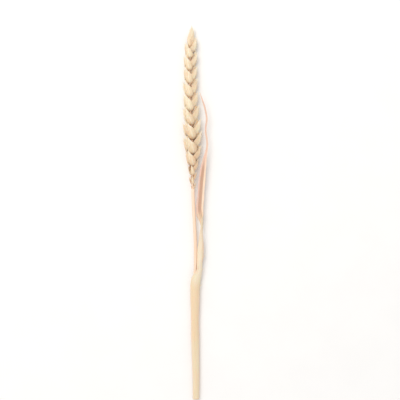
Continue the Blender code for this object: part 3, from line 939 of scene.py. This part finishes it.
def add_hairs(name, feet, out, across, size, length, material):
    """Short hairs in a fringe at both edges of the rachis under each spikelet.

    Each is a three-sided spike from a foot on the edge to a tip that leans up and out, at random.
    """
    chance = np.random.default_rng(LOOKS_SEED)
    count = len(feet) * HAIRS_EACH
    foot, out_way, side_way = (np.repeat(values, HAIRS_EACH, axis=0) for values in (feet, out, across))
    edge = np.where(np.arange(count) % 2 == 0, 1.0, -1.0)[:, None]
    grown = np.repeat(size, HAIRS_EACH)[:, None]
    spread = chance.uniform(-1.0, 1.0, (count, 1))
    start = foot + side_way * edge * grown + out_way * spread * 0.5 * grown
    start[:, 1] += chance.uniform(*HAIR_FEET, count)
    lean = side_way * edge * 0.5 + out_way * spread * 0.6 + np.array([0.0, 1.0, 0.0])
    tip = start + unit(lean + chance.normal(0.0, HAIR_SCATTER, (count, 3))) * length
    points = np.concatenate([start[:, None] + np.array(HAIR_RING), tip[:, None]], axis=1).reshape(-1, 3)
    spike = np.array([[1, 0, 3], [2, 1, 3], [0, 2, 3], [2, 0, 1]])
    faces = (spike[None] + 4 * np.arange(count)[:, None, None]).reshape(-1, 3)
    uv = (np.full(len(points), HAIR_U), np.tile(HAIR_V, count))
    add_piece(name, points, faces, uv, {}, material, "ear")


class WHEAT_OT_straw(bpy.types.Operator):
    """Builds the straw, a ribbed hollow tube cut off at its lower end"""

    bl_idname = "wheat.straw"
    bl_label = "Straw"

    def execute(self, context):
        looks = straw_material("straw", context.scene.wheat_stalk)
        rows, sides = STRAW_GRID
        y = np.linspace(CUT_END, EAR_FOOT - 0.05, rows)
        bare = rise(y, BARE_BEGINS)
        radii = SHEATHED_RADIUS + (STRAW_RADIUS - SHEATHED_RADIUS) * bare
        off_collar = (y - EAR_FOOT + COLLAR_BELOW) / COLLAR_LENGTH
        radii = radii * (1 + COLLAR_SHARE * np.exp(-(off_collar**2)))
        outer = tube(centre(y), radii, sides, RIB_HEIGHT, STRAW_RIBS)
        deep = np.linspace(BORE_TO, CUT_END, rows // 2)
        inner = tube(centre(deep[::-1]), np.full(len(deep), BORE_RADIUS), sides)[::-1]
        add_piece("straw", *close_tube(np.concatenate([inner, outer])), {}, looks, "stem")
        return {"FINISHED"}


class WHEAT_OT_flag_leaf(bpy.types.Operator):
    """Builds the flag leaf: the sheath round the straw and the dried, twisted blade, as one veined sheet"""

    bl_idname = "wheat.flag_leaf"
    bl_label = "Flag leaf"

    def execute(self, context):
        stalk = context.scene.wheat_stalk
        looks = leaf_material(stalk)
        rows, across = LEAF_GRID
        w = np.linspace(-1.0, 1.0, across)
        marks = np.linspace(0.0, 1.0, len(LEAF_STATIONS))
        station = np.interp(np.linspace(0.0, 1.0, rows), marks, LEAF_STATIONS[:, 0])
        points = leaf_points(station, w)
        wall = stalk.wall / MM
        thickness = wall * (MARGIN_WALL + (1 - MARGIN_WALL) * (1 - np.abs(w) ** 3))
        thickness = thickness * leaf_end(station)[:, None]
        grid, faces = shell(points[None], thickness[None])
        run = (station - station[0]) / (station[-1] - station[0])
        tones = {
            "sheath": 1 - rise(station, SHEATH_ENDS),
            "mouth": rise(station, MOUTH_BEGINS) * (1 - rise(station, MOUTH_ENDS)),
            "turning": rise(station, TURN_BEGINS) * (1 - rise(station, TURN_ENDS)),
            "blade": rise(station, CHANNEL_BEGINS),
            "tail": rise(station, TAIL_BEGINS),
        }
        uv = shell_uv(w * 0.5 + 0.5, run, 1, rows, across)
        values = {key: shell_values(tone[None, :, None], 1, rows, across) for key, tone in tones.items()}
        add_piece("flag_leaf_sheet", lay_on_surface(grid), faces, uv, values, looks, "flag_leaf")
        return {"FINISHED"}


def leaf_end(station):
    """1 along the leaf and falling by an S over the last of the blade's thin end."""
    return 1 - END_THINNED * rise(station, (LEAF_STATIONS[-1, 0] - END_THINS_OVER, END_THINS_OVER))


def leaf_points(station, w):
    """The leaf's outer face: at each y an arc of an ellipse round the middle of the curl.

    The arc's angle is the midrib's way plus the reach times w, its half axes come from the stations
    and grow by half the wall, and cosines of w raise the veins, with a bell for the midrib. Where the
    sheath closes, it reaches past itself on a widening spiral, so that one margin lies on the other.
    On the blade sines of y wave the margins.
    """
    middle_x, middle_z, half_width, half_height, facing, reach = (
        smooth(station, LEAF_STATIONS, key)[:, None] for key in range(1, 7)
    )
    w, y = w[None, :], station[:, None]
    closed = rise(reach, SHEATH_CLOSES)
    blade = rise(y, WAVES_BEGIN) * (1 - rise(y, WAVES_END))
    turn = np.radians(facing + (reach + SHEATH_OVERLAP * closed) * w)
    rib = MIDRIB[0] * np.exp(-((w / MIDRIB[1]) ** 2))
    rib = rib + VEIN_HEIGHT * np.cos(2 * np.pi * VEINS * w + VEIN_SWAY[0] * np.sin(VEIN_SWAY[1] * w))
    wave = 0.0
    for power, height, along, across in WAVES:
        wave = wave + blade * w**power * height * np.sin(y * along + across * w)
    grow = (LEAF_HALF_WALL + rib + wave) * leaf_end(y) + SHEATH_SPIRAL * closed * w
    x = middle_x + (half_width + grow) * np.cos(turn)
    z = middle_z + (half_height + grow) * np.sin(turn)
    return np.stack(np.broadcast_arrays(x, y, z), axis=-1)


class WHEAT_OT_leaf_edges(bpy.types.Operator):
    """Builds the ligule in the sheath's mouth, the auricles that clasp the straw and the frayed fibres"""

    bl_idname = "wheat.leaf_edges"
    bl_label = "Ligule, auricles and fibres"

    def execute(self, context):
        looks = chaff_material("leaf edge", context.scene.wheat_husks, 5, 0.5)
        add_ligule(looks)
        auricles = [np.array(path) for path in AURICLES]
        add_strands("auricles", auricles, AURICLE_RADII, looks)
        fibres = []
        for foot_y, tip_x, tip_y in FIBRES:
            edge = leaf_points(np.array([foot_y]), np.linspace(-1.0, 1.0, LEAF_GRID[1]))[0]
            foot = edge[np.argmax(edge[:, 0])] - np.array([LEAF_HALF_WALL, 0.0, 0.0])
            tip = np.array([tip_x, tip_y, foot[2] + FIBRE_RISE])
            fibres.append(np.array([foot, 0.5 * (foot + tip) + FIBRE_BEND, tip]))
        add_strands("leaf_fibres", fibres, FIBRE_RADII, looks)
        return {"FINISHED"}


def add_ligule(material):
    """A thin funnel from the sheath's inner face to the straw, whose rim is torn by sines of its angle."""
    rows, across = LIGULE_GRID
    t = np.linspace(0.0, 1.0, rows)[:, None]
    angle = np.radians(LIGULE_FACING + LIGULE_REACH * np.linspace(-1.0, 1.0, across)[None, :])
    torn = 1.0
    for depth, count, shift in LIGULE_TEARS:
        torn = torn + depth * np.sin(count * angle + shift)
    low, high = LIGULE
    y = low + (high - low) * t * torn
    middle_x, middle_z = (smooth(low, LEAF_STATIONS, key) for key in (1, 2))
    straw_x, _, straw_z = centre(high)
    closing = eased(t)
    wide, tight = LIGULE_RADII
    x = middle_x + (straw_x - middle_x) * closing + (wide + (tight - wide) * closing) * np.cos(angle)
    z = middle_z + (straw_z - middle_z) * closing
    flat = LIGULE_FLATTENED * wide
    z = z + (flat + (tight - flat) * closing) * np.sin(angle)
    points = np.stack(np.broadcast_arrays(x, y, z), axis=-1)[:, ::-1]
    points, faces = shell(points[None], np.full((1, 1, 1), LIGULE_WALL))
    uv = shell_uv(angle[0] * STRAND_U, t[:, 0], 1, rows, across)
    add_piece("ligule", points, faces, uv, {}, material, "flag_leaf")


def add_strands(name, paths, radii, material):
    """Curved, tapering strands through three points each: a parabola's path, round, closed at its ends."""
    rows, sides = STRAND_GRID
    t = np.linspace(0.0, 1.0, rows)[:, None]
    grids = []
    bands = []
    columns = []
    first = 0
    for foot, bend, tip in paths:
        path = foot * (1 - t) ** 2 + 2 * bend * t * (1 - t) + tip * t**2
        grid = tube(path, radii[0] + (radii[1] - radii[0]) * t[:, 0], sides)
        points, faces, (u, v) = close_tube(grid)
        grids.append(points)
        bands.append(faces + first)
        columns.append((u * STRAND_U, v))
        first += len(points)
    uv = tuple(np.concatenate(values) for values in zip(*columns))
    add_piece(name, np.concatenate(grids), np.concatenate(bands), uv, {}, material, "flag_leaf")


class WHEAT_OT_stage(bpy.types.Operator):
    """Sets the pale floor, the soft light and the camera that looks straight down"""

    bl_idname = "wheat.stage"
    bl_label = "Stage"

    def execute(self, context):
        stage = context.scene.wheat_stage
        add_floor(linear(stage.floor))
        world = bpy.data.worlds.new("studio")
        world.use_nodes = True
        sky = world.node_tree.nodes["Background"]
        sky.inputs["Color"].default_value = SKY_COLOUR
        sky.inputs["Strength"].default_value = stage.ambient
        context.scene.world = world
        light = bpy.data.lights.new("key", "AREA")
        light.size = KEY_WIDTH
        light.energy = stage.key
        light.color = KEY_COLOUR
        key = add_object("key", light)
        key.location = KEY_PLACE
        key.rotation_euler = aim(key.location)
        lens = bpy.data.cameras.new("camera")
        lens.sensor_width = SENSOR_WIDTH
        lens.lens = lens.sensor_width * stage.distance / FRAME_WIDTH
        camera = add_object("camera", lens)
        camera.location = (*FRAME_MIDDLE, stage.distance)
        context.scene.camera = camera
        context.scene.view_settings.view_transform = "Standard"
        return {"FINISHED"}


def aim(place):
    """The turn that points a lamp from its place at the origin: tipped from straight down, then swung."""
    x, y, z = place
    return (np.arctan2(np.hypot(x, y), z), 0.0, np.arctan2(x, -y))


def add_floor(colour):
    """A wide flat floor at z = 0, with a faint grain."""
    mesh = bpy.data.meshes.new("floor")
    half = FLOOR_HALF
    corners = [(-half, -half, 0), (half, -half, 0), (half, half, 0), (-half, half, 0)]
    mesh.from_pydata(corners, [], [(0, 1, 2, 3)])
    make = Shader("floor", 0.85, {"Specular IOR Level": 0.1})
    grain = make.noise(make.place(), 40.0)
    shade = (*(value * GRAIN_SHADE for value in colour[:3]), 1.0)
    mesh.materials.append(make.finish(make.mix(make.span(grain, 0.3, 0.7), colour, shade)))
    add_object("floor", mesh)


OPERATORS = (
    WHEAT_OT_rachis,
    WHEAT_OT_glumes,
    WHEAT_OT_florets,
    WHEAT_OT_straw,
    WHEAT_OT_flag_leaf,
    WHEAT_OT_leaf_edges,
    WHEAT_OT_stage,
)


class WHEAT_PT_panel(bpy.types.Panel):
    """Lists the settings and the pieces of the wheat ear"""

    bl_idname = "WHEAT_PT_panel"
    bl_label = "Wheat ear"
    bl_space_type = "VIEW_3D"
    bl_region_type = "UI"
    bl_category = "Wheat ear"

    def draw(self, context):
        for group in ("wheat_husks", "wheat_stalk", "wheat_stage"):
            settings = getattr(context.scene, group)
            box = self.layout.box()
            for key in settings.__annotations__:
                box.prop(settings, key)
        for operator in OPERATORS:
            self.layout.operator(operator.bl_idname)


SETTINGS = {
    "wheat_husks": WheatHuskSettings,
    "wheat_stalk": WheatStalkSettings,
    "wheat_stage": WheatStageSettings,
}


def register():
    """Registers the settings, the operators and the panel."""
    for group in SETTINGS.values():
        bpy.utils.register_class(group)
    for key, group in SETTINGS.items():
        setattr(bpy.types.Scene, key, PointerProperty(type=group))
    for operator in OPERATORS:
        bpy.utils.register_class(operator)
    bpy.utils.register_class(WHEAT_PT_panel)


def unregister():
    """Takes them out again in turn."""
    bpy.utils.unregister_class(WHEAT_PT_panel)
    for operator in reversed(OPERATORS):
        bpy.utils.unregister_class(operator)
    for key, group in SETTINGS.items():
        delattr(bpy.types.Scene, key)
        bpy.utils.unregister_class(group)


def main():
    """Builds every piece and the stage."""
    register()
    bpy.ops.wheat.rachis()
    bpy.ops.wheat.glumes()
    bpy.ops.wheat.florets()
    bpy.ops.wheat.straw()
    bpy.ops.wheat.flag_leaf()
    bpy.ops.wheat.leaf_edges()
    bpy.ops.wheat.stage()


if __name__ == "__main__":
    main()
